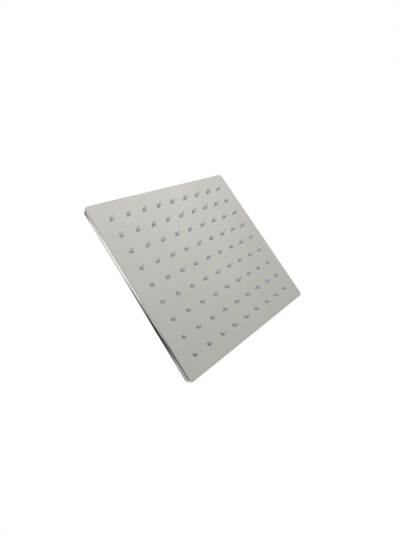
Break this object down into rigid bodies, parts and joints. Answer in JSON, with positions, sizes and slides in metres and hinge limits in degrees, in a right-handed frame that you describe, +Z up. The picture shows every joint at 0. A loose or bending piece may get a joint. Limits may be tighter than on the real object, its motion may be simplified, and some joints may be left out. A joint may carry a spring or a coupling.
{
  "type": "shower head",
  "caption": "Slim square rain shower head: polished steel tray with a grid of soft nozzles, tilting and turning on a ball joint below its threaded inlet.",
  "frame": {"origin": "centre of the inlet's mouth, on the axis of its thread", "axes": "+Z up along the inlet and out of its mouth, with the spray face looking down; X and Y are square to the head's sides"},
  "size_m": [0.2, 0.2, 0.0519],
  "materials": {
    "polished_steel": "mirror polished",
    "chrome_plate": "bright plated",
    "grey_silicone": "satin",
    "black_rubber": "matt"
  },
  "bodies": {
    "inlet": {"ball_stem": "chrome_plate", "inlet_washer": "black_rubber"},
    "seal": {"ball_seal": "black_rubber"},
    "head": {"face_pan": "polished_steel", "back_plate": "polished_steel", "retaining_nut": "chrome_plate", "nozzle_row_1": "grey_silicone", "nozzle_row_2": "grey_silicone", "nozzle_row_3": "grey_silicone", "nozzle_row_4": "grey_silicone", "nozzle_row_5": "grey_silicone", "nozzle_row_6": "grey_silicone", "nozzle_row_7": "grey_silicone", "nozzle_row_8": "grey_silicone", "nozzle_row_9": "grey_silicone"}
  },
  "joints": [
    {"name": "swivel", "type": "hinge", "parent": "inlet", "child": "seal", "pos_m": [0, 0, -0.02607], "axis": [0, 0, 1], "continuous": true},
    {"name": "tilt", "type": "hinge", "parent": "seal", "child": "head", "pos_m": [0, 0, -0.02607], "axis": [1, 0, 0], "range_deg": [-15, 15]}
  ]
}
